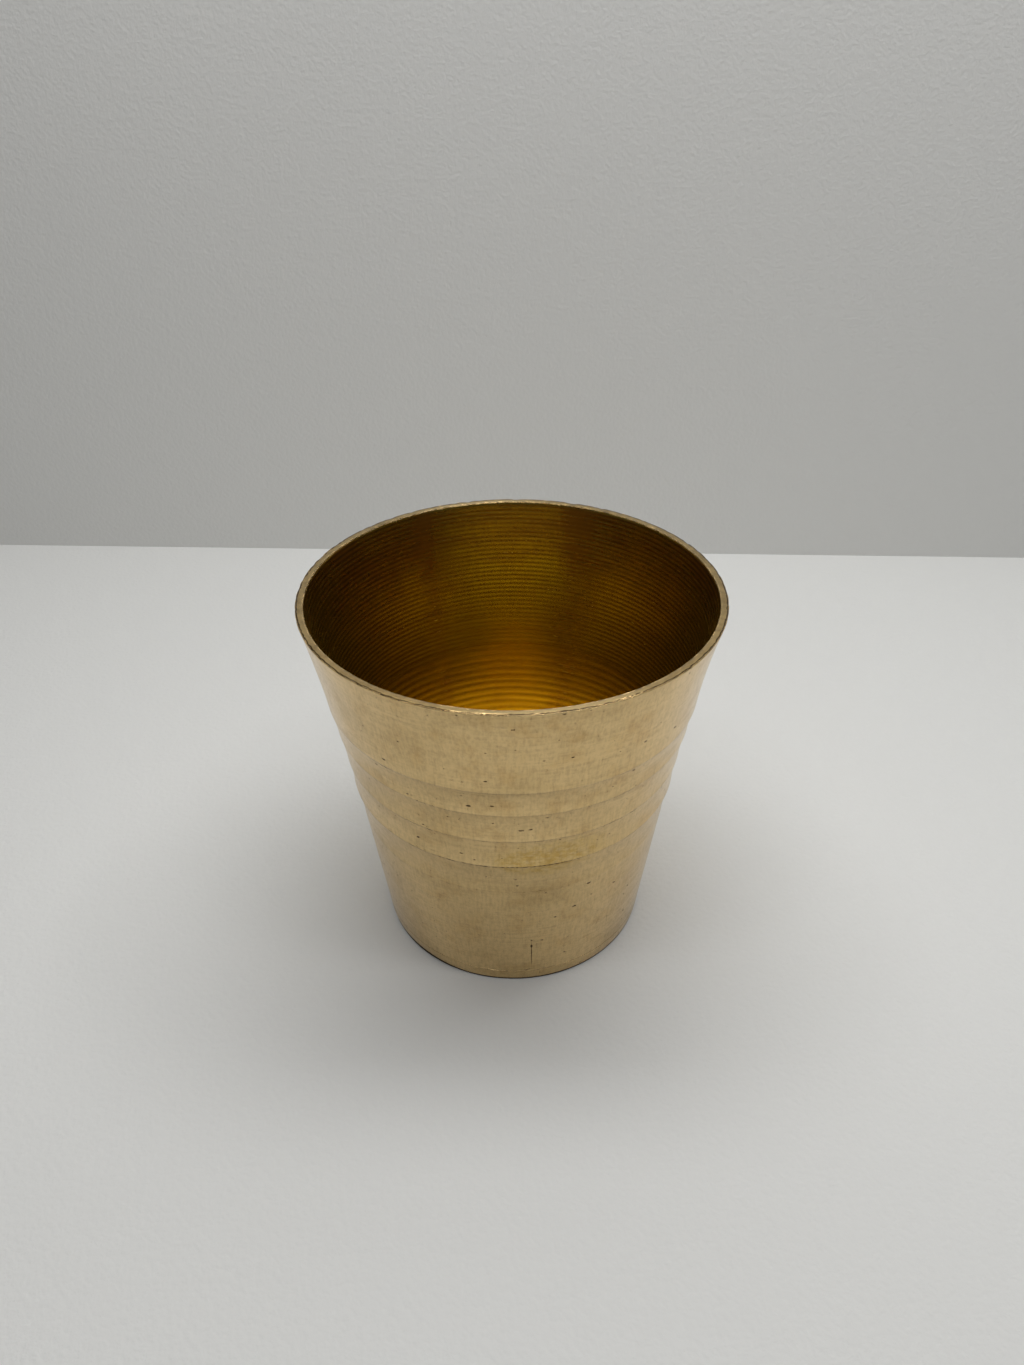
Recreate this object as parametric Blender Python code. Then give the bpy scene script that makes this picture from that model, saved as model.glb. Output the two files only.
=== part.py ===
"""Turned brass bar measure: a tapered wall, a stepped base disc and the braze that seals them.

The cup stands on the ground plane with its axis on Z and its foot centred on the origin.
"""

import math

import bmesh
import bpy

MM = 0.001

# Driving dimensions of the finished cup.
HEIGHT = 48.0 * MM
RIM_RADIUS = 25.0 * MM
FOOT_RADIUS = 17.5 * MM
RIM_THICKNESS = 0.9 * MM
EDGE_BREAK = 0.15 * MM

# The outside is turned in hollow bands that meet at sharp ridges: (height, radius) of each ridge.
RIDGES = (
    (18.4 * MM, 19.8 * MM),
    (23.3 * MM, 20.65 * MM),
    (27.7 * MM, 21.2 * MM),
    (32.2 * MM, 21.95 * MM),
    (36.0 * MM, 22.7 * MM),
)
FOOT_HOLLOW = 0.06 * MM
BAND_HOLLOW = 0.11 * MM
LIP_HOLLOW = 0.24 * MM
FOOT_STEPS = 2
BAND_STEPS = 2
LIP_STEPS = 4

# The bore is cut at two tapers, which meet at this height.
TAPER_CHANGE_HEIGHT = 27.7 * MM
TAPER_CHANGE_RADIUS = 20.1 * MM
BORE_FOOT_RADIUS = 16.35 * MM

# The base disc is a flange that the wall stands on and a spigot that centres it.
FLANGE_THICKNESS = 1.9 * MM
INSIDE_FLOOR = 3.4 * MM
BRAZE_LEG = 1.2 * MM
BRAZE_STEPS = 4
JOINT_GAP = 0.3 * MM

SEGMENTS = 96
MERGE_DISTANCE = 0.001 * MM
SMOOTH_ANGLE = math.radians(30)

# Colour and roughness of each metal.
TURNED_BRASS = ((0.72, 0.52, 0.24, 1.0), 0.25)
FACED_BRASS = ((0.62, 0.40, 0.12, 1.0), 0.35)
BRAZE_METAL = ((0.70, 0.50, 0.22, 1.0), 0.4)


def clear_scene():
    for obj in list(bpy.data.objects):
        bpy.data.objects.remove(obj, do_unlink=True)


def metal(name, colour, roughness):
    material = bpy.data.materials.new(name)
    material.use_nodes = True
    shader = material.node_tree.nodes["Principled BSDF"]
    shader.inputs["Base Color"].default_value = colour
    shader.inputs["Metallic"].default_value = 1.0
    shader.inputs["Roughness"].default_value = roughness
    material.diffuse_color = colour
    return material


def straight(start, end, height):
    """Radius at a height on the line between two (height, radius) points."""
    share = (height - start[0]) / (end[0] - start[0])
    return start[1] + share * (end[1] - start[1])


def bore_radius(height):
    taper_change = (TAPER_CHANGE_HEIGHT, TAPER_CHANGE_RADIUS)
    if height < TAPER_CHANGE_HEIGHT:
        return straight((0.0, BORE_FOOT_RADIUS), taper_change, height)
    return straight(taper_change, (HEIGHT, RIM_RADIUS - RIM_THICKNESS), height)


def hollow_band(top, bottom, depth, steps):
    """Points of one hollow band, from its top ridge down to just above its bottom ridge."""
    points = []
    for step in range(steps):
        share = step / steps
        height = top[0] + share * (bottom[0] - top[0])
        sag = 4.0 * depth * share * (1.0 - share)
        points.append((straight(top, bottom, height) - sag, height))
    return points


def outside_points():
    """The wall's outer side as (radius, height), from under the rim's edge down to the joint."""
    rim = (HEIGHT - EDGE_BREAK, RIM_RADIUS)
    foot = (0.0, FOOT_RADIUS)
    ridges = list(reversed(RIDGES))
    points = hollow_band(rim, ridges[0], LIP_HOLLOW, LIP_STEPS)
    for upper, lower in zip(ridges[:-1], ridges[1:]):
        points += hollow_band(upper, lower, BAND_HOLLOW, BAND_STEPS)
    joint = FLANGE_THICKNESS + JOINT_GAP
    wall_foot = (joint, straight(foot, ridges[-1], joint))
    points += hollow_band(ridges[-1], wall_foot, FOOT_HOLLOW, FOOT_STEPS)
    points.append((wall_foot[1], wall_foot[0]))
    return points


def turned(name, points, closed, material):
    """A solid of revolution about Z from (radius, height) points, down the outer side first."""
    spun = bmesh.new()
    vertices = [spun.verts.new((radius, 0.0, height)) for radius, height in points]
    for upper, lower in zip(vertices[:-1], vertices[1:]):
        spun.edges.new((upper, lower))
    if closed:
        spun.edges.new((vertices[-1], vertices[0]))
    bmesh.ops.spin(
        spun,
        geom=spun.verts[:] + spun.edges[:],
        axis=(0.0, 0.0, 1.0),
        angle=math.tau,
        steps=SEGMENTS,
        use_merge=True,
    )
    bmesh.ops.remove_doubles(spun, verts=spun.verts[:], dist=MERGE_DISTANCE)
    bmesh.ops.recalc_face_normals(spun, faces=spun.faces[:])

    mesh = bpy.data.meshes.new(name)
    spun.to_mesh(mesh)
    spun.free()
    mesh.shade_smooth()
    mesh.set_sharp_from_angle(angle=SMOOTH_ANGLE)
    mesh.materials.append(material)
    piece = bpy.data.objects.new(name, mesh)
    bpy.context.scene.collection.objects.link(piece)
    return piece


def cup_wall():
    """The tapered wall: banded outside, two tapers inside, with a thin flat rim."""
    joint = FLANGE_THICKNESS + JOINT_GAP
    inner_rim = RIM_RADIUS - RIM_THICKNESS
    points = [(RIM_RADIUS - EDGE_BREAK, HEIGHT)]
    points += outside_points()
    points.append((bore_radius(joint), joint))
    points.append((TAPER_CHANGE_RADIUS, TAPER_CHANGE_HEIGHT))
    points.append((inner_rim, HEIGHT - EDGE_BREAK))
    points.append((inner_rim + EDGE_BREAK, HEIGHT))
    return turned("cup_wall", points, True, metal("turned brass", *TURNED_BRASS))


def base_disc():
    """The base: a flange flush with the wall, and a spigot whose top is the cup's floor."""
    foot = (0.0, FOOT_RADIUS)
    flange_radius = straight(foot, RIDGES[0], FLANGE_THICKNESS)
    spigot_radius = bore_radius(FLANGE_THICKNESS) - JOINT_GAP
    points = [
        (0.0, INSIDE_FLOOR),
        (spigot_radius - EDGE_BREAK, INSIDE_FLOOR),
        (spigot_radius, INSIDE_FLOOR - EDGE_BREAK),
        (spigot_radius, FLANGE_THICKNESS),
        (flange_radius, FLANGE_THICKNESS),
        (straight(foot, RIDGES[0], EDGE_BREAK), EDGE_BREAK),
        (FOOT_RADIUS - EDGE_BREAK, 0.0),
        (0.0, 0.0),
    ]
    return turned("base_disc", points, False, metal("faced brass", *FACED_BRASS))


def braze_fillet():
    """The ring of braze in the corner between the floor and the bore, with a hollow face."""
    low = INSIDE_FLOOR + JOINT_GAP
    high = low + BRAZE_LEG
    outer_low = bore_radius(low) - JOINT_GAP
    inner_low = outer_low - BRAZE_LEG
    points = [(bore_radius(high) - JOINT_GAP, high), (outer_low, low), (inner_low, low)]
    for step in range(1, BRAZE_STEPS):
        turn = math.radians(90.0) * step / BRAZE_STEPS
        points.append((inner_low + BRAZE_LEG * math.sin(turn), high - BRAZE_LEG * math.cos(turn)))
    return turned("braze_fillet", points, True, metal("braze", *BRAZE_METAL))


def main():
    clear_scene()
    cup_wall()
    base_disc()
    braze_fillet()


main()
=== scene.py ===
"""Looks of a turned brass bar measure: banded wall, faced base, braze and a plain studio.

Lengths are metres unless a name ends in _mm, and Z runs up the cup's axis from the foot.
"""

import math

import bmesh
import bpy
from bpy.props import FloatProperty, FloatVectorProperty, IntProperty, PointerProperty
from mathutils import Matrix, Vector


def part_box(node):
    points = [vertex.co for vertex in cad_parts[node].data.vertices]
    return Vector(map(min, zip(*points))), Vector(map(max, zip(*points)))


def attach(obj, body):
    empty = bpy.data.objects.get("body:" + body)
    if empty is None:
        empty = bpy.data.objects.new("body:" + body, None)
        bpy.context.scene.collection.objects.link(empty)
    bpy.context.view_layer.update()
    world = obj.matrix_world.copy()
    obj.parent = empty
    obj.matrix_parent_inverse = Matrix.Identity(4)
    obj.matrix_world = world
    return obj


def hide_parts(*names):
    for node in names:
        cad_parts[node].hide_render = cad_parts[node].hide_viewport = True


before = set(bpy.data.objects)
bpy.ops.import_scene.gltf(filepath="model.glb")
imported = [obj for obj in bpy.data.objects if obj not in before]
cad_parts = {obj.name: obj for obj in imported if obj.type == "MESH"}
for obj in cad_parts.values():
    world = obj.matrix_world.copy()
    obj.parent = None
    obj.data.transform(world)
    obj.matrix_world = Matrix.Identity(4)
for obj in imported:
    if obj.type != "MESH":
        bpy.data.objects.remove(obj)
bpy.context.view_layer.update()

bl_info = {
    "name": "Turned bar measure",
    "version": (1, 0, 0),
    "blender": (4, 5, 0),
    "location": "3D View > Sidebar > Bar measure",
    "description": "Turns a banded brass cup, its base and its braze around a packed model",
    "category": "Object",
}

MM = 0.001
WALL_LOW, WALL_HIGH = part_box("cup_wall")
BASE_LOW, BASE_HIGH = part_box("base_disc")
BRAZE_LOW, BRAZE_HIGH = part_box("braze_fillet")

# The solids keep this much air at each joint, which the finished pieces close.
JOINT_GAP = 0.3 * MM
SEAM_HEIGHT = WALL_LOW.z - JOINT_GAP
INSIDE_FLOOR = BASE_HIGH.z
FOOT_RADIUS = 17.5 * MM

# Ridges between the hollow bands, from the foot up: (height, radius, step cut under the ridge).
RIDGES = (
    (18.4 * MM, 19.8 * MM, 0.008 * MM),
    (23.3 * MM, 20.65 * MM, 0.045 * MM),
    (27.7 * MM, 21.2 * MM, 0.04 * MM),
    (32.2 * MM, 21.95 * MM, 0.03 * MM),
    (36.0 * MM, 22.7 * MM, 0.02 * MM),
)
# Faint tool passes on the plain foot, as heights.
FOOT_PASSES = (8.6 * MM, 11.0 * MM, 14.5 * MM)
BAND_HOLLOW = 0.13 * MM
LIP_HOLLOW = 0.24 * MM
PASS_HOLLOW = 0.012 * MM
PASS_STEP = 0.006 * MM

# The bore changes its taper and its feed here: (height, radius).
TAPER_CHANGE = (27.7 * MM, 20.1 * MM)
BORE_FOOT_RADIUS = 16.35 * MM

# The seam is a hairline between the wall's seat and the flange's top, both chamfered outside.
WALL_SEAT = SEAM_HEIGHT + 0.02 * MM
FLANGE_TOP = SEAM_HEIGHT + 0.018 * MM
SEAM_CHAMFER = 0.012 * MM

# The base disc and the braze.
FOOT_EDGE = 0.2 * MM
SPIGOT_FIT = 0.03 * MM
BRAZE_FIT = 0.01 * MM
# Facing cuts: (spacing, depth). The foot's depth is negative because it looks down.
FLOOR_FACING = (0.62 * MM, 0.012 * MM)
FOOT_FACING = (0.55 * MM, -0.015 * MM)

# Where the rows of a hollow band lie, closer together at its ridges.
BAND_ROWS = (0.0, 0.012, 0.04, 0.1, 0.2, 0.35, 0.5, 0.65, 0.8, 0.9, 0.96, 0.988)
PASS_ROWS = (0.0, 0.05, 0.3, 0.6, 0.95)
# Rows of one turn of the tool. The first of them is its crest.
RING_PHASES = (0.0, 1.0 / 3.0, 2.0 / 3.0)

# Zones of a turned piece, each with its own metal.
OUTSIDE, RIM, BORE = 0.0, 1.0, 2.0
# Points nearer than the first are joined, and edges shorter than the second are cleared.
JOIN_DISTANCE = 0.0005 * MM
SLIVER = 0.0001 * MM
# How often the wall runs out of round, and how often its bands are worn, per metre.
SWAYS_PER_METRE = 28.0
WEAR_PER_METRE = 75.0

# Marks on the outside, in millimetres: (centre, reach along each axis).
OLD_FILM = ((4.3, -20.3, 24.3), (9.0, 7.0, 3.6))
SEAM_GRIME = ((1.5, -17.8, 1.9), (6.5, 5.0, 3.0))
SCRATCH = ((2.15, -18.2, 5.6), (0.1, 2.0, 3.8))
SCRATCH_HEAD = ((2.15, -18.4, 7.2), (0.24, 2.0, 0.4))
# How dark the grime is under each ridge, from the foot up.
RIDGE_GRIME = (0.2, 1.0, 0.65, 0.5, 0.35)


# Sizes and finishes that a user would change.


class CupSizes(bpy.types.PropertyGroup):
    rim_thickness: FloatProperty(
        name="Rim thickness",
        description="Width of the flat rim",
        default=0.92 * MM,
        min=0.4 * MM,
        unit="LENGTH",
        precision=5,
    )
    edge_round: FloatProperty(
        name="Edge round",
        description="Radius left on the rim's edges by polishing",
        default=0.1 * MM,
        min=0.02 * MM,
        unit="LENGTH",
        precision=5,
    )
    upper_feed: FloatProperty(
        name="Upper feed",
        description="Spacing of the tool rings in the upper bore",
        default=0.61 * MM,
        min=0.3 * MM,
        unit="LENGTH",
        precision=5,
    )
    lower_feed: FloatProperty(
        name="Lower feed",
        description="Spacing of the tool rings in the lower bore",
        default=1.07 * MM,
        min=0.3 * MM,
        unit="LENGTH",
        precision=5,
    )
    ring_height: FloatProperty(
        name="Ring height",
        description="How far the tool rings stand out of the upper bore",
        default=0.017 * MM,
        min=0.0,
        unit="LENGTH",
        precision=6,
    )
    knock_depth: FloatProperty(
        name="Knock depth",
        description="Depth of the knocks along the rim's outer edge",
        default=0.2 * MM,
        min=0.0,
        unit="LENGTH",
        precision=5,
    )
    segments: IntProperty(
        name="Segments",
        description="Facets round the wall",
        default=320,
        min=48,
        max=400,
    )


class CupFinish(bpy.types.PropertyGroup):
    brass: FloatVectorProperty(
        name="Brass",
        description="Polished brass outside",
        default=(0.75, 0.545, 0.265),
        size=3,
        min=0.0,
        max=1.0,
        subtype="COLOR",
    )
    aged_brass: FloatVectorProperty(
        name="Aged brass",
        description="Browner metal where the polish has dulled",
        default=(0.56, 0.395, 0.175),
        size=3,
        min=0.0,
        max=1.0,
        subtype="COLOR",
    )
    bore_brass: FloatVectorProperty(
        name="Bore brass",
        description="Tarnished metal inside the cup",
        default=(0.87, 0.665, 0.077),
        size=3,
        min=0.0,
        max=1.0,
        subtype="COLOR",
    )
    # The dark colour of grime, and of the painted shade at the foot's edge and in the bore's ring
    # grooves at the sides.
    grime_and_shade: FloatVectorProperty(
        name="Grime",
        description="Dark residue in pits, seams and scratches",
        default=(0.07, 0.04, 0.015),
        size=3,
        min=0.0,
        max=1.0,
        subtype="COLOR",
    )
    stain: FloatVectorProperty(
        name="Stain",
        description="Old brown film on the metal",
        default=(0.47, 0.245, 0.045),
        size=3,
        min=0.0,
        max=1.0,
        subtype="COLOR",
    )
    roughness: FloatProperty(
        name="Roughness",
        description="Roughness of the polished outside",
        default=0.16,
        min=0.02,
        max=1.0,
        subtype="FACTOR",
    )


class StudioSettings(bpy.types.PropertyGroup):
    floor: FloatVectorProperty(
        name="Floor",
        description="Pale matt floor and backdrop",
        default=(0.80, 0.80, 0.78),
        size=3,
        min=0.0,
        max=1.0,
        subtype="COLOR",
    )
    strip_power: FloatProperty(
        name="Strip power",
        description="Power that the overhead light strips take their shares of",
        default=0.45,
        min=0.0,
        unit="POWER",
        precision=3,
    )
    fill: FloatProperty(
        name="Fill",
        description="Strength of the even light all round",
        default=0.07,
        min=0.0,
    )


# Node trees.


class Link:
    """A node's output. Arithmetic on it adds Math nodes to its tree."""

    def __init__(self, maker, socket):
        self.maker = maker
        self.socket = socket

    def __add__(self, other):
        return self.maker.math("ADD", self, other)

    def __radd__(self, other):
        return self.maker.math("ADD", other, self)

    def __sub__(self, other):
        return self.maker.math("SUBTRACT", self, other)

    def __rsub__(self, other):
        return self.maker.math("SUBTRACT", other, self)

    def __mul__(self, other):
        return self.maker.math("MULTIPLY", self, other)

    def __rmul__(self, other):
        return self.maker.math("MULTIPLY", other, self)

    def __truediv__(self, other):
        return self.maker.math("DIVIDE", self, other)

    def __rtruediv__(self, other):
        return self.maker.math("DIVIDE", other, self)

    def __gt__(self, other):
        return self.maker.math("GREATER_THAN", self, other)

    def __lt__(self, other):
        return self.maker.math("LESS_THAN", self, other)

    def __abs__(self):
        return self.maker.math("ABSOLUTE", self)


class Maker:
    """Adds nodes to one shader or geometry tree."""

    def __init__(self, tree):
        self.tree = tree

    def node(self, kind, settings=None, values=None, output=0):
        """Adds a node, sets its settings, then its sockets, and returns the output asked for.

        A list of outputs gives a list back.
        """
        made = self.tree.nodes.new(kind)
        for name, setting in (settings or {}).items():
            setattr(made, name, setting)
        for name, value in (values or {}).items():
            if isinstance(value, Link):
                self.tree.links.new(value.socket, made.inputs[name])
            else:
                made.inputs[name].default_value = value
        if isinstance(output, list):
            return [Link(self, made.outputs[name]) for name in output]
        return Link(self, made.outputs[output])

    def math(self, operation, *operands):
        return self.node("ShaderNodeMath", {"operation": operation}, dict(enumerate(operands)))

    def axes(self, vector):
        """The three parts of a vector."""
        return self.node("ShaderNodeSeparateXYZ", None, {0: vector}, [0, 1, 2])

    def vector(self, x, y, z):
        return self.node("ShaderNodeCombineXYZ", None, {0: x, 1: y, 2: z})

    def scaled(self, vector, x, y, z):
        return self.node("ShaderNodeVectorMath", {"operation": "MULTIPLY"}, {0: vector, 1: (x, y, z)})

    def shift(self, vector, x, y, z):
        return self.node("ShaderNodeVectorMath", {"operation": "ADD"}, {0: vector, 1: (x, y, z)})

    def noise(self, vector, scale=1.0, detail=2.0, roughness=0.5):
        return self.node(
            "ShaderNodeTexNoise",
            None,
            {"Vector": vector, "Scale": scale, "Detail": detail, "Roughness": roughness},
        )

    def step(self, value, low, high):
        """0 below low and 1 above high, with a smooth rise. Low may be the larger."""
        return self.node(
            "ShaderNodeMapRange",
            {"interpolation_type": "SMOOTHSTEP"},
            {"Value": value, "From Min": low, "From Max": high},
        )

    def blend(self, share, first, second):
        """Mixes two colours."""
        return self.node(
            "ShaderNodeMix", {"data_type": "RGBA"}, {0: share, 6: opaque(first), 7: opaque(second)}, 2
        )

    def near(self, value, middle, reach):
        """1 where the value is at the middle, falling to 0 at reach on either side."""
        return self.step(abs(value - middle), reach, 0.0)

    def bump(self, strength, distance, height):
        heights = {"Strength": strength, "Distance": distance, "Height": height}
        return self.node("ShaderNodeBump", None, heights)


def opaque(colour):
    """A colour with full alpha. A link is left as it is."""
    if isinstance(colour, Link):
        return colour
    return (*tuple(colour)[:3], 1.0)


class Metal(Maker):
    """A metal whose colour, roughness and relief come from patterns in the piece's own space."""

    def __init__(self, name):
        self.material = bpy.data.materials.new(name)
        self.material.use_nodes = True
        super().__init__(self.material.node_tree)
        self.shader = self.tree.nodes["Principled BSDF"]
        self.shader.inputs["Metallic"].default_value = 1.0
        place = self.node("ShaderNodeTexCoord", None, None, "Object")
        self.place_mm = self.scaled(place, 1000.0, 1000.0, 1000.0)
        self.x_mm, self.y_mm, self.z_mm = self.axes(self.place_mm)

    def finish(self, colour, roughness, relief_mm):
        """Connects the three patterns. The relief is a height in millimetres."""
        self.tree.links.new(colour.socket, self.shader.inputs["Base Color"])
        self.tree.links.new(roughness.socket, self.shader.inputs["Roughness"])
        self.tree.links.new(self.bump(1.0, MM, relief_mm).socket, self.shader.inputs["Normal"])
        return self.material

    def stretched(self, x, y, z):
        """Places in millimetres, scaled along each axis. A small scale draws a pattern out."""
        return self.scaled(self.place_mm, x, y, z)

    def mottle(self, per_mm, detail=2.0, roughness=0.5):
        """Blotches with no direction."""
        return self.noise(self.place_mm, per_mm, detail, roughness)

    def lathe_lines(self, per_mm, detail=3.0):
        """Fine lines that run round the axis."""
        return self.noise(self.stretched(0.12, 0.12, per_mm), 1.0, detail, 0.6)

    def rub_lines(self, per_mm, length_mm=5.0):
        """Fine lines that run up and down the wall."""
        return self.noise(self.stretched(per_mm, per_mm, 1.0 / length_mm), 1.0, 2.0)

    def length(self, vector):
        return self.node("ShaderNodeVectorMath", {"operation": "LENGTH"}, {0: vector}, "Value")

    def from_axis(self):
        """Distance from the cup's axis, in millimetres."""
        return self.length(self.stretched(1.0, 1.0, 0.0))

    def most(self, *patterns):
        """The strongest of several patterns at each place."""
        strongest = patterns[0]
        for pattern in patterns[1:]:
            strongest = self.math("MAXIMUM", strongest, pattern)
        return strongest

    def patch(self, centre_mm, reach_mm, ragged=0.0):
        """1 at a place, falling to 0 at a reach along each axis, with a ragged edge."""
        away = self.shift(self.place_mm, *(-part for part in centre_mm))
        distance = self.length(self.scaled(away, *(1.0 / reach for reach in reach_mm)))
        if ragged:
            distance = distance + (self.mottle(0.7, 3.0) - 0.5) * ragged
        return self.step(distance, 1.0, 0.3)

    def pits(self, spacing_mm, size, share, stretch):
        """Casting pits: 1 in a pit, 0 elsewhere.

        Size is the largest radius in spacings, share is how many of the pits there are, and
        stretch is how long they are for their height.
        """
        across = 1.0 / (spacing_mm * stretch)
        place = self.stretched(across, across, 1.0 / spacing_mm)
        distance, colour = self.node(
            "ShaderNodeTexVoronoi", None, {"Vector": place, "Scale": 1.0}, ["Distance", "Color"]
        )
        chance, span, _ = self.axes(colour)
        radius = size * (0.3 + 0.7 * span * span)
        ragged = (self.mottle(5.0) - 0.5) * 1.2
        inside = self.step(distance / radius + ragged, 1.0, 0.6)
        return inside * (chance < share)


# Finishes.


def satin_brass(finish):
    """The polished outside: pale yellow, with lathe lines, rub lines, pits, dulled patches and a
    painted shade along the foot's bottom edge.
    """
    metal = Metal("satin_brass")
    fine = metal.lathe_lines(3.4)
    broad = metal.lathe_lines(0.6, 2.0)
    rubs = metal.rub_lines(4.0)
    cloud = metal.mottle(0.09, 4.0, 0.6)
    crowded = 0.25 + metal.step(metal.mottle(0.13), 0.38, 0.6) * 0.75
    pits = metal.most(
        metal.pits(3.4, 0.065, crowded, 1.8),
        metal.pits(1.6, 0.11, 0.9 * crowded, 2.2),
        metal.pits(0.8, 0.17, 0.65 * crowded, 1.9) * 0.85,
    )

    grain = metal.mottle(2.0, 3.0, 0.7)
    low = metal.step(metal.z_mm, 24.0, 16.0)
    scored = metal.step(metal.noise(metal.stretched(1.0, 1.0, 1.6), 0.1), 0.4, 0.65)
    dull = metal.step(cloud, 0.46, 0.7) * 0.6 + (broad - 0.5) * (0.7 + low * 0.6)
    dull = dull + metal.step(metal.z_mm, 2.1, 1.7) * metal.near(metal.x_mm, -1.0, 14.0) * 0.5
    dull = dull - metal.near(metal.z_mm, 9.5, 8.0) * 0.8
    colour = metal.blend(dull, finish.brass, finish.aged_brass)
    streaks = metal.noise(metal.stretched(1.0, 1.0, 1.8), 0.9, 5.0, 0.75)
    film = metal.patch(*OLD_FILM, 0.9) * metal.step(streaks, 0.3, 0.7)
    specks = metal.step(metal.mottle(0.28, 4.0, 0.65), 0.45, 0.75) * 0.28
    colour = metal.blend(film * 0.35, colour, finish.bore_brass)
    colour = metal.blend(metal.most(film * 0.6, specks), colour, finish.stain)

    lines = (fine - 0.5) * (0.18 + scored * 0.35) + (rubs - 0.5) * 0.45 + (grain - 0.5) * 0.55
    grime_and_shade = pits * 0.8 + lines + 0.08
    broken = metal.step(metal.mottle(1.9, 1.0), 0.3, 0.65)
    broken = broken * metal.step(metal.mottle(0.08, 1.0), 0.35, 0.6)
    for (height, _, _), strength in zip(RIDGES, RIDGE_GRIME):
        grime_and_shade = grime_and_shade + metal.near(metal.z_mm, height / MM - 0.06, 0.18) * broken * strength
    seam = metal.near(metal.z_mm, SEAM_HEIGHT / MM, 0.09)
    grime_and_shade = grime_and_shade + seam * metal.patch(*SEAM_GRIME, 0.6) * 0.8
    grime_and_shade = grime_and_shade + metal.patch(*SCRATCH) * 0.75 + metal.patch(*SCRATCH_HEAD) * 0.8
    # Painted shade: a dark line along the foot's bottom edge where it meets the floor, reaching
    # higher on the left.
    foot = metal.z_mm - metal.near(metal.x_mm, -12.5, 7.0) * 0.35
    grime_and_shade = grime_and_shade + metal.step(foot, 0.4, 0.2) * 1.2
    colour = metal.blend(grime_and_shade, colour, finish.grime_and_shade)

    roughness = finish.roughness + (fine - 0.5) * 0.10 + cloud * 0.06 + grime_and_shade * 0.3
    relief = fine * 0.003 + broad * 0.004 + rubs * 0.0012 - pits * 0.04
    return metal.finish(colour, roughness, relief)


def rim_brass(finish):
    """The flat rim: a painted highlight at front and back, with burrs and grime along its outer edge.
    """
    metal = Metal("rim_brass")
    from_axis = metal.from_axis()
    fine = metal.lathe_lines(3.0)
    patches = metal.mottle(0.8, 3.0, 0.6)
    turned = metal.noise(metal.vector(from_axis * 4.0, 0.0, 0.0), 1.0, 2.0, 0.6)
    ragged = metal.noise(metal.stretched(1.0, 1.0, 2.0), 1.3, 4.0, 0.75) - 0.5
    edge = metal.step(abs(from_axis - 24.54), 0.24, 0.42)
    away = abs(from_axis + ragged * 0.5 - 24.82)
    line = metal.step(away, 0.1, 0.05)
    line = line * metal.step(metal.mottle(0.16) + ragged * 0.9, 0.28, 0.36)
    # Painted highlight: lighter brass across the front and the back of the rim, where the overhead
    # lamps would glance off it.
    painted_highlight = metal.near(metal.x_mm + metal.step(metal.y_mm, -5.0, 5.0) * 8.0, 3.5, 14.0)
    flecks = metal.step(metal.mottle(1.1, 3.0, 0.7), 0.52, 0.64) * edge
    # The rim's wear is partly real worn patches and partly the painted highlight.
    worn = metal.step(patches, 0.7, 0.35) * 0.12 + painted_highlight

    dirt = metal.step(patches, 0.35, 0.7) * 0.35 * (1.0 - painted_highlight)
    colour = metal.blend(dirt, finish.aged_brass, finish.grime_and_shade)
    colour = metal.blend(worn, colour, finish.brass)
    colour = metal.blend(line, colour, finish.grime_and_shade)
    roughness = 0.16 + patches * 0.12
    relief = fine * 0.001 + turned * 0.07 + patches * 0.04 + ragged * edge * 0.5 + flecks * 0.06
    return metal.finish(colour, roughness, relief)


def bore_brass(finish, sizes):
    """The tarnished bore: amber, with residue between the tool rings, painted shade in the ring
    grooves at the sides and two painted reflection stripes.
    """
    metal = Metal("bore_brass")
    fine = metal.lathe_lines(2.4)
    uneven = metal.lathe_lines(0.85, 2.0)
    cloud = metal.mottle(0.11, 4.0, 0.6)
    rubs = metal.rub_lines(2.0, 9.0)
    pits = metal.most(metal.pits(2.6, 0.1, 0.4, 1.3), metal.pits(1.1, 0.12, 0.3, 1.3) * 0.7)
    change = TAPER_CHANGE[0] / MM
    above = metal.z_mm > change
    feed = above * (sizes.upper_feed / MM) + (1.0 - above) * (sizes.lower_feed / MM)
    wave = (metal.z_mm - change + (cloud - 0.5) * 0.3) / feed * math.tau
    grooves = 0.5 - metal.math("COSINE", wave) * 0.5
    # Painted reflections: two browner vertical stripes on the far side of the bore, where the rings
    # fade too.
    across = metal.x_mm / metal.from_axis()
    painted_stripes = metal.near(across, 0.40, 0.17) + metal.near(across, -0.50, 0.1)
    painted_stripes = painted_stripes * (metal.y_mm > 0.0)

    dirt = grooves * 0.3 + metal.step(cloud, 0.45, 0.7) * 0.4
    dirt = dirt + (fine - 0.5) * 0.6 + (rubs - 0.5) * 0.5 + (uneven - 0.5) * 0.9 + painted_stripes * 0.4
    dirt = dirt + metal.step(metal.z_mm, 34.0, 47.0) * 0.55 - metal.step(metal.z_mm, 34.0, 28.0) * 0.2
    colour = metal.blend(dirt, finish.bore_brass, finish.stain)
    # Painted shade: the ring grooves darken more towards the bore's left and right sides; the rest of
    # this darkening is real residue.
    painted_side_shade = metal.step(abs(across), 0.3, 0.8)
    residue_and_shade = grooves * (0.08 + above * 0.08 + painted_side_shade * 0.32) * (1.0 - painted_stripes * 0.6) + 0.08
    residue_and_shade = residue_and_shade + metal.near(metal.z_mm, change, 0.12) * 0.3
    colour = metal.blend(metal.most(pits * 0.8, residue_and_shade), colour, finish.grime_and_shade)
    roughness = 0.21 + (fine - 0.5) * 0.12 + dirt * 0.08
    relief = fine * 0.003 + rubs * 0.0015 - pits * 0.03
    return metal.finish(colour, roughness, relief)


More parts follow.
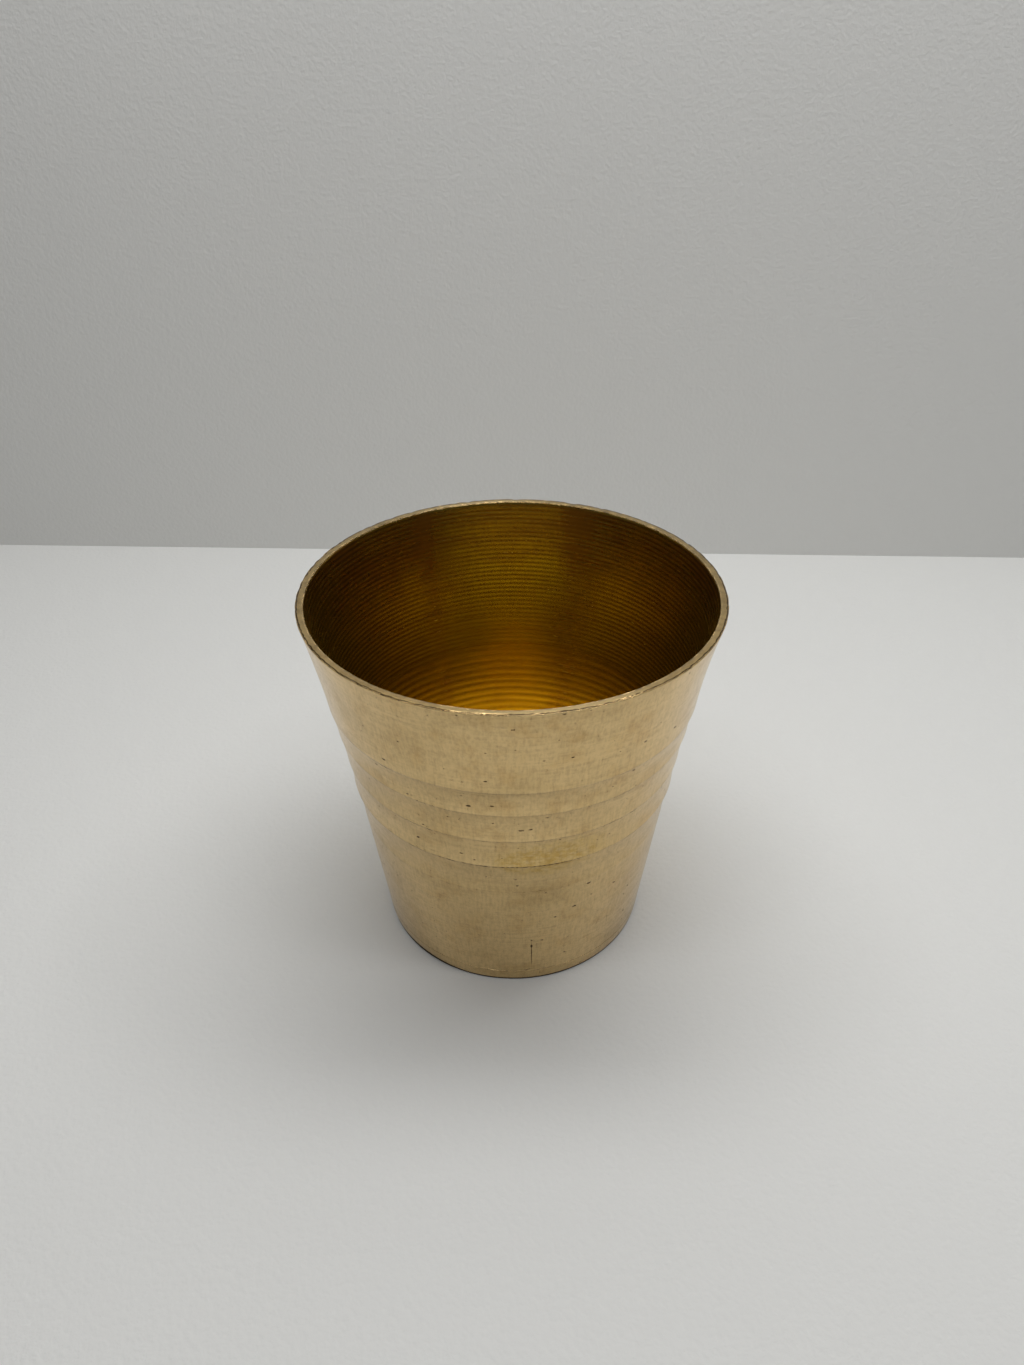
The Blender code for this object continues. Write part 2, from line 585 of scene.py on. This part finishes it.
def faced_brass(finish):
    """The underside and the floor: tool rings from facing, and scuffs from standing about."""
    metal = Metal("faced_brass")
    lines = metal.noise(metal.vector(metal.from_axis() * 2.5, 0.0, 0.0), 1.0, 3.0, 0.6)
    cloud = metal.mottle(0.14, 4.0, 0.6)
    scuffs = metal.noise(metal.stretched(0.3, 4.0, 1.0), 1.0, 3.0, 0.6)
    colour = metal.blend(metal.step(cloud, 0.4, 0.75) * 0.7, finish.brass, finish.aged_brass)
    roughness = 0.32 + (lines - 0.5) * 0.15 + metal.step(scuffs, 0.6, 0.75) * 0.12
    relief = lines * 0.004 + scuffs * 0.002
    return metal.finish(colour, roughness, relief)


def braze_metal(finish):
    """Brazing metal that ran into the corner: dull, lumpy and a little darker."""
    metal = Metal("braze_metal")
    lumps = metal.mottle(1.1, 3.0, 0.6)
    colour = metal.blend(metal.step(lumps, 0.4, 0.7), finish.bore_brass, finish.aged_brass)
    return metal.finish(colour, 0.36 + lumps * 0.16, lumps * 0.03)


# Turning.


def straight(start, end, height):
    """Radius at a height on the line between two (height, radius) points."""
    share = (height - start[0]) / (end[0] - start[0])
    return start[1] + share * (end[1] - start[1])


def bore_radius(height, sizes):
    if height < TAPER_CHANGE[0]:
        return straight((0.0, BORE_FOOT_RADIUS), TAPER_CHANGE, height)
    return straight(TAPER_CHANGE, (WALL_HIGH.z, WALL_HIGH.x - sizes.rim_thickness), height)


def hollow_band(top, bottom, depth, rows, undercut=0.0):
    """Rows (radius, height, sag) of one hollow band, from its top ridge down to its bottom one.

    The undercut is how far the band steps in under its top ridge.
    """
    points = []
    for share in rows:
        height = top[0] + share * (bottom[0] - top[0])
        sag = 4.0 * depth * share * (1.0 - share)
        step = undercut * (1.0 - share) ** 2 if share > 0.0 else 0.0
        points.append((straight(top, bottom, height) - sag - step, height, sag + step))
    return points


def outside_rows(edge):
    """The wall's outer side, from the bottom of the rim's rounded edge down to the seam."""
    rim = (WALL_HIGH.z - edge, WALL_HIGH.x)
    foot = (0.0, FOOT_RADIUS)
    ridges = list(reversed(RIDGES))
    rows = hollow_band(rim, ridges[0], LIP_HOLLOW, BAND_ROWS)
    for upper, lower in zip(ridges[:-1], ridges[1:]):
        rows += hollow_band(upper, lower, BAND_HOLLOW, BAND_ROWS, upper[2])
    last = ridges[-1][:2]
    passes = [(height, straight(foot, last, height)) for height in reversed(FOOT_PASSES)]
    seam = (SEAM_HEIGHT + 0.03 * MM, straight(foot, last, SEAM_HEIGHT))
    stations = [last, *passes, seam]
    for upper, lower in zip(stations[:-1], stations[1:]):
        rows += hollow_band(upper, lower, PASS_HOLLOW, PASS_ROWS, PASS_STEP)
    above_seam = seam[0] + 0.04 * MM
    rows += [(straight(foot, last, above_seam), above_seam), (seam[1], seam[0])]
    return rows


def quarter(centre, radius, start_deg, steps):
    """Points of a quarter turn round (radius, height), clockwise as seen with the axis at left."""
    points = []
    for step in range(steps + 1):
        turn = math.radians(start_deg - 90.0 * step / steps)
        points.append((centre[0] + radius * math.cos(turn), centre[1] + radius * math.sin(turn)))
    return points


def turns(start, end, feed):
    """Each row of each turn of the tool on its way from start to end, as (place, whether a crest)."""
    count = round((end - start) / feed)
    for turn in range(count):
        for phase in RING_PHASES:
            yield start + (turn + phase) * (end - start) / count, phase == 0.0


def crest_height(height, sizes):
    """How far a ring stands out: most in the lower bore, least just above the change of feed."""
    if height < TAPER_CHANGE[0]:
        return 1.2 * sizes.ring_height
    share = (height - TAPER_CHANGE[0]) / (WALL_HIGH.z - TAPER_CHANGE[0])
    return sizes.ring_height * min(1.0, 0.35 + 1.6 * share)


def bore_rows(low, high, sizes):
    """The bore from its foot up to the rim's inner edge."""
    rows = []
    for start, end, feed in (
        (low, TAPER_CHANGE[0], sizes.lower_feed),
        (TAPER_CHANGE[0], high, sizes.upper_feed),
    ):
        for height, is_crest in turns(start, end, feed):
            crest = crest_height(height, sizes) if is_crest else 0.0
            rows.append((bore_radius(height, sizes) - crest, height))
    return rows


def faced_rows(outer, height, facing):
    """Rows across a faced surface, from the axis out."""
    feed, depth = facing
    rows = []
    for radius, is_crest in turns(0.0, outer, feed):
        rows.append((radius, height if is_crest else height - depth))
    return rows


def tagged(rows, zone, knocked=0.0):
    """Rows as (radius, height, zone, share of the knocks, sag that polishing can wear away)."""
    return [(row[0], row[1], zone, knocked, row[2] if len(row) > 2 else 0.0) for row in rows]


def wall_rows(sizes):
    """The whole wall's outline: rim, outside, seam face and bore, back to where it starts."""
    edge = sizes.edge_round
    outer, top = WALL_HIGH.x, WALL_HIGH.z
    inner = outer - sizes.rim_thickness
    outer_edge = quarter((outer - edge, top - edge), edge, 90.0, 4)
    inner_edge = quarter((inner + edge, top - edge), edge, 180.0, 3)
    outside = outside_rows(edge)
    seat_outer = (outside[-1][0] - SEAM_CHAMFER, WALL_SEAT)
    seat_inner = (bore_radius(WALL_SEAT, sizes) + 0.02 * MM, WALL_SEAT)
    bore = bore_rows(WALL_SEAT + 0.05 * MM, top - edge - 0.2 * MM, sizes)
    bore_end = (inner - 0.02 * MM, top - edge - 0.03 * MM)
    middle = (inner + 0.5 * sizes.rim_thickness, top - 0.004 * MM)
    rows = tagged(outer_edge[:-1], RIM, 1.0)
    rows += tagged(outside[:1], RIM, 0.6)
    rows += tagged([*outside[1:], seat_outer], OUTSIDE)
    rows += tagged([seat_inner, *bore, bore_end], BORE)
    rows += tagged([*inner_edge, middle], RIM, 0.2)
    return rows + rows[:1]


def base_rows(sizes):
    """The base disc's outline: floor, spigot, flange and underside, from axis to axis."""
    foot = (0.0, FOOT_RADIUS)
    first_ridge = RIDGES[0][:2]
    spigot = bore_radius(INSIDE_FLOOR, sizes) - SPIGOT_FIT
    flange = straight(foot, first_ridge, SEAM_HEIGHT)
    floor = faced_rows(spigot - 0.4 * MM, INSIDE_FLOOR, FLOOR_FACING)
    corner = [(spigot, INSIDE_FLOOR - 0.02 * MM), (spigot - 0.2 * MM, FLANGE_TOP)]
    side = [(flange - SEAM_CHAMFER, FLANGE_TOP), (flange, FLANGE_TOP - SEAM_CHAMFER)]
    for height in (FLANGE_TOP - 0.05 * MM, 0.75 * SEAM_HEIGHT, 0.5 * SEAM_HEIGHT, 0.25 * SEAM_HEIGHT):
        side.append((straight(foot, first_ridge, height), height))
    side += quarter((FOOT_RADIUS - FOOT_EDGE, FOOT_EDGE), FOOT_EDGE, 0.0, 4)
    under = faced_rows(FOOT_RADIUS - 2.0 * FOOT_EDGE, 0.0, FOOT_FACING)
    return tagged(floor + corner, BORE) + tagged(side, OUTSIDE) + tagged(reversed(under), RIM)


def braze_rows(sizes):
    """The fillet's outline: up the bore from the corner and down a hollow face."""
    leg = BRAZE_HIGH.z - BRAZE_LOW.z
    low = INSIDE_FLOOR + 0.005 * MM
    high = low + leg
    corner = bore_radius(low, sizes) - BRAZE_FIT
    rows = [(bore_radius(high, sizes) - BRAZE_FIT, high), (corner, low), (corner - leg, low)]
    steps = 8
    for step in range(1, steps):
        turn = math.radians(90.0 * step / steps)
        rows.append((corner - leg + leg * math.sin(turn), high - leg * math.cos(turn)))
    return tagged(rows + rows[:1], OUTSIDE)


TURNED_INPUTS = (
    ("Profile", "NodeSocketGeometry"),
    ("Segments", "NodeSocketInt"),
    ("Knock depth", "NodeSocketFloat"),
    ("Knocks per metre", "NodeSocketFloat"),
    ("Knock threshold", "NodeSocketFloat"),
    ("Out of round", "NodeSocketFloat"),
    ("Band wear", "NodeSocketFloat"),
    ("Outside metal", "NodeSocketMaterial"),
    ("Rim metal", "NodeSocketMaterial"),
    ("Bore metal", "NodeSocketMaterial"),
)


def turning_tree():
    """Geometry Nodes that turn an outline round Z, knock its edges and give each zone its metal."""
    tree = bpy.data.node_groups.new("Turn an outline", "GeometryNodeTree")
    for name, kind in TURNED_INPUTS:
        tree.interface.new_socket(name, in_out="INPUT", socket_type=kind)
    tree.interface.new_socket("Turned", in_out="OUTPUT", socket_type="NodeSocketGeometry")
    make = Maker(tree)
    names = [name for name, _ in TURNED_INPUTS]
    given = dict(zip(names, make.node("NodeGroupInput", None, None, names)))
    profile = {"Geometry": given["Profile"]}

    rows = make.node("GeometryNodeAttributeDomainSize", None, profile, "Point Count")
    spans = {"Size X": 1.0, "Size Y": 1.0, "Vertices X": rows, "Vertices Y": given["Segments"] + 1.0}
    grid = make.node("GeometryNodeMeshGrid", None, spans, "Mesh")
    across, around, _ = make.axes(make.node("GeometryNodeInputPosition"))
    row = (across + 0.5) * (rows - 1.0) + 0.5
    turn = (around + 0.5) * math.tau

    def sampled(value, kind):
        """A value at this row of the outline."""
        place = {**profile, "Value": value, "Index": make.math("FLOOR", row)}
        return make.node("GeometryNodeSampleIndex", {"data_type": kind}, place)

    def attribute(name):
        return make.node("GeometryNodeInputNamedAttribute", {"data_type": "FLOAT"}, {"Name": name})

    radius, _, height = make.axes(sampled(make.node("GeometryNodeInputPosition"), "FLOAT_VECTOR"))
    knocked = sampled(attribute("knocked"), "FLOAT")
    cosine = make.math("COSINE", turn)
    sine = make.math("SINE", turn)
    place = make.vector(radius * cosine, radius * sine, height)
    sway = make.noise(place, SWAYS_PER_METRE, 1.0) * given["Out of round"]
    lumps = make.noise(place, given["Knocks per metre"], 3.0, 0.65)
    reach = {"Value": lumps, "From Min": given["Knock threshold"], "From Max": 0.85}
    knock = make.node("ShaderNodeMapRange", None, reach) * knocked * given["Knock depth"]
    worn = make.step(make.noise(place, WEAR_PER_METRE), 0.42, 0.68) * given["Band wear"]
    worn = worn * sampled(attribute("sag"), "FLOAT")
    inward = radius + worn - (sway + knock) * (radius > 0.001)
    shaped = make.vector(inward * cosine, inward * sine, height - knock * 0.8)
    zoned = make.node(
        "GeometryNodeStoreNamedAttribute",
        {"data_type": "FLOAT", "domain": "POINT"},
        {"Geometry": grid, "Name": "zone", "Value": sampled(attribute("zone"), "FLOAT")},
    )
    placed = make.node("GeometryNodeSetPosition", None, {"Geometry": zoned, "Position": shaped})
    joined = {"Geometry": placed, "Distance": JOIN_DISTANCE}
    merged = make.node("GeometryNodeMergeByDistance", None, joined)
    smooth = make.node("GeometryNodeSetShadeSmooth", None, {"Geometry": merged})
    solid = make.node("GeometryNodeRealizeInstances", None, {"Geometry": smooth})
    reading = attribute("zone")
    for name, zone in (("Outside metal", OUTSIDE), ("Rim metal", RIM), ("Bore metal", BORE)):
        values = {"Geometry": solid, "Selection": reading > zone - 0.5, "Material": given[name]}
        solid = make.node("GeometryNodeSetMaterial", None, values)
    make.node("NodeGroupOutput", None, {"Turned": solid}, [])
    return tree


def outline_object(name, rows):
    """An outline as a string of points, which carry their zone, their knocks and their sag."""
    mesh = bpy.data.meshes.new(name)
    points = [(row[0], 0.0, row[1]) for row in rows]
    mesh.from_pydata(points, [(i, i + 1) for i in range(len(points) - 1)], [])
    for label, column in (("zone", 2), ("knocked", 3), ("sag", 4)):
        attribute = mesh.attributes.new(label, "FLOAT", "POINT")
        attribute.data.foreach_set("value", [row[column] for row in rows])
    outline = bpy.data.objects.new(name, mesh)
    bpy.context.scene.collection.objects.link(outline)
    return outline


def close_up(mesh):
    """Clears slivers, points the faces outwards and makes sure that the mesh is closed."""
    solid = bmesh.new()
    solid.from_mesh(mesh)
    bmesh.ops.dissolve_degenerate(solid, dist=SLIVER, edges=solid.edges[:])
    bmesh.ops.recalc_face_normals(solid, faces=solid.faces[:])
    if any(not edge.is_manifold for edge in solid.edges):
        raise RuntimeError(f"{mesh.name} isn't closed")
    if solid.calc_volume(signed=True) < 0.0:
        bmesh.ops.reverse_faces(solid, faces=solid.faces[:])
    solid.to_mesh(mesh)
    solid.free()


def turned_piece(name, rows, values):
    """Turns an outline into a plain closed mesh and returns its object."""
    outline = outline_object(name + "_outline", rows)
    tree = bpy.data.node_groups.get("Turn an outline") or turning_tree()
    modifier = outline.modifiers.new("Turn", "NODES")
    modifier.node_group = tree
    for item in tree.interface.items_tree:
        if item.item_type == "SOCKET" and item.in_out == "INPUT" and item.name in values:
            modifier[item.identifier] = values[item.name]
    graph = bpy.context.evaluated_depsgraph_get()
    mesh = bpy.data.meshes.new_from_object(outline.evaluated_get(graph), depsgraph=graph)
    bpy.data.objects.remove(outline)
    mesh.name = name
    close_up(mesh)
    piece = bpy.data.objects.new(name, mesh)
    bpy.context.scene.collection.objects.link(piece)
    return piece


class JIGGER_OT_turn_wall(bpy.types.Operator):
    """Turn the banded wall with its rim and ringed bore"""

    bl_idname = "jigger.turn_wall"
    bl_label = "Turn the wall"

    def execute(self, context):
        sizes, finish = context.scene.cup_sizes, context.scene.cup_finish
        values = {
            "Segments": sizes.segments,
            "Knock depth": sizes.knock_depth,
            "Knocks per metre": 900.0,
            "Knock threshold": 0.5,
            "Out of round": 0.03 * MM,
            "Band wear": 0.45,
            "Outside metal": satin_brass(finish),
            "Rim metal": rim_brass(finish),
            "Bore metal": bore_brass(finish, sizes),
        }
        wall = turned_piece("banded_wall", wall_rows(sizes), values)
        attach(wall, "root")
        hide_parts("cup_wall")
        return {"FINISHED"}


class JIGGER_OT_face_base(bpy.types.Operator):
    """Face the base disc, its spigot and its foot"""

    bl_idname = "jigger.face_base"
    bl_label = "Face the base"

    def execute(self, context):
        sizes, finish = context.scene.cup_sizes, context.scene.cup_finish
        outside = bpy.data.materials.get("satin_brass")
        if outside is None:
            raise RuntimeError("The wall comes first, because the base shares its polish")
        faced = faced_brass(finish)
        values = {
            "Segments": sizes.segments // 2,
            "Outside metal": outside,
            "Rim metal": faced,
            "Bore metal": faced,
        }
        base = turned_piece("stepped_base", base_rows(sizes), values)
        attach(base, "root")
        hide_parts("base_disc")
        return {"FINISHED"}


class JIGGER_OT_run_braze(bpy.types.Operator):
    """Run the braze into the corner between the floor and the bore"""

    bl_idname = "jigger.run_braze"
    bl_label = "Run the braze"

    def execute(self, context):
        sizes, finish = context.scene.cup_sizes, context.scene.cup_finish
        metal = braze_metal(finish)
        values = {
            "Segments": sizes.segments // 2,
            "Outside metal": metal,
            "Rim metal": metal,
            "Bore metal": metal,
        }
        braze = turned_piece("braze_bead", braze_rows(sizes), values)
        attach(braze, "root")
        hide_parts("braze_fillet")
        return {"FINISHED"}


# Studio.


def floor_finish(settings):
    """Matt board with a fine grain."""
    material = bpy.data.materials.new("studio_board")
    material.use_nodes = True
    make = Maker(material.node_tree)
    shader = material.node_tree.nodes["Principled BSDF"]
    shader.inputs["Base Color"].default_value = opaque(settings.floor)
    shader.inputs["Roughness"].default_value = 0.75
    place = make.node("ShaderNodeTexCoord", None, None, "Object")
    relief = make.bump(0.6, 0.15 * MM, make.noise(place, 1400.0))
    make.tree.links.new(relief.socket, shader.inputs["Normal"])
    return material


def board(name, start, end, rise, material):
    """A flat board from the edge between start and end, carried on by rise."""
    far = [tuple(Vector(corner) + Vector(rise)) for corner in (end, start)]
    mesh = bpy.data.meshes.new(name)
    mesh.from_pydata([start, end, *far], [], [(0, 1, 2, 3)])
    mesh.materials.append(material)
    made = bpy.data.objects.new(name, mesh)
    bpy.context.scene.collection.objects.link(made)


BOARD_REACH = 0.8
# The backdrop stands behind the cup, a little nearer on the right.
BACKDROP_PLACE = 0.103
BACKDROP_SKEW = 0.043
BACKDROP_HEIGHT = 0.5

STRIP_HEIGHT = 0.30
# Overhead strips: (x, y, length along X, width along Y, share of the strip power).
STRIPS = (
    (0.02, 0.04, 0.34, 0.08, 0.92),
    (0.175, 0.025, 0.03, 0.10, 0.10),
    (0.01, -0.085, 0.26, 0.03, 0.50),
)


def light_strip(name, place, length, width, power):
    """A rectangular lamp that looks straight down."""
    lamp = bpy.data.lights.new(name, "AREA")
    lamp.shape = "RECTANGLE"
    lamp.size = length
    lamp.size_y = width
    lamp.energy = power
    strip = bpy.data.objects.new(name, lamp)
    strip.location = place
    bpy.context.scene.collection.objects.link(strip)


CAMERA_PLACE = Vector((-0.00005, -0.1023, 0.10525))
CAMERA_PITCH = math.radians(34.62)
CAMERA_ROLL = math.radians(-0.41)
CAMERA_LENS = 26.37


def add_camera():
    """A camera that looks down into the cup and is rolled very slightly."""
    forward = Vector((0.0, math.cos(CAMERA_PITCH), -math.sin(CAMERA_PITCH)))
    level = Vector((1.0, 0.0, 0.0))
    up = level.cross(forward)
    side = math.cos(CAMERA_ROLL) * level + math.sin(CAMERA_ROLL) * up
    top = math.cos(CAMERA_ROLL) * up - math.sin(CAMERA_ROLL) * level
    camera = bpy.data.objects.new("camera", bpy.data.cameras.new("camera"))
    camera.data.lens = CAMERA_LENS
    camera.data.clip_start = 0.005
    turn = Matrix((side, top, -forward)).transposed().to_4x4()
    camera.matrix_world = Matrix.Translation(CAMERA_PLACE) @ turn
    bpy.context.scene.collection.objects.link(camera)
    bpy.context.scene.camera = camera


class JIGGER_OT_set_studio(bpy.types.Operator):
    """Set the pale floor, the backdrop, the overhead strips and the camera"""

    bl_idname = "jigger.set_studio"
    bl_label = "Set the studio"

    def execute(self, context):
        settings = context.scene.studio
        material = floor_finish(settings)
        reach = BOARD_REACH
        board("floor", (-reach, -reach, 0), (reach, -reach, 0), (0, 2 * reach, 0), material)
        left = (-reach, BACKDROP_PLACE + BACKDROP_SKEW * reach, 0)
        right = (reach, BACKDROP_PLACE - BACKDROP_SKEW * reach, 0)
        board("backdrop", left, right, (0, 0, BACKDROP_HEIGHT), material)
        for index, (x, y, length, width, share) in enumerate(STRIPS):
            place = Vector((x, y, STRIP_HEIGHT))
            light_strip(f"strip_{index}", place, length, width, share * settings.strip_power)
        world = bpy.data.worlds.new("even light")
        world.use_nodes = True
        sky = world.node_tree.nodes["Background"]
        sky.inputs["Color"].default_value = (1.0, 1.0, 1.0, 1.0)
        sky.inputs["Strength"].default_value = settings.fill
        context.scene.world = world
        context.scene.view_settings.view_transform = "Standard"
        add_camera()
        return {"FINISHED"}


class JIGGER_PT_bench(bpy.types.Panel):
    bl_idname = "JIGGER_PT_bench"
    bl_label = "Bar measure"
    bl_space_type = "VIEW_3D"
    bl_region_type = "UI"
    bl_category = "Bar measure"

    def draw(self, context):
        for group in (context.scene.cup_sizes, context.scene.cup_finish, context.scene.studio):
            box = self.layout.box()
            for name in group.__annotations__:
                box.prop(group, name)
        for step in STEPS:
            self.layout.operator(step.bl_idname)


STEPS = (JIGGER_OT_turn_wall, JIGGER_OT_face_base, JIGGER_OT_run_braze, JIGGER_OT_set_studio)
CLASSES = (CupSizes, CupFinish, StudioSettings, *STEPS, JIGGER_PT_bench)


def register():
    for cls in CLASSES:
        bpy.utils.register_class(cls)
    bpy.types.Scene.cup_sizes = PointerProperty(type=CupSizes)
    bpy.types.Scene.cup_finish = PointerProperty(type=CupFinish)
    bpy.types.Scene.studio = PointerProperty(type=StudioSettings)


def unregister():
    del bpy.types.Scene.studio
    del bpy.types.Scene.cup_finish
    del bpy.types.Scene.cup_sizes
    for cls in reversed(CLASSES):
        bpy.utils.unregister_class(cls)


def main():
    register()
    bpy.ops.jigger.turn_wall()
    bpy.ops.jigger.face_base()
    bpy.ops.jigger.run_braze()
    bpy.ops.jigger.set_studio()


if __name__ == "__main__":
    main()
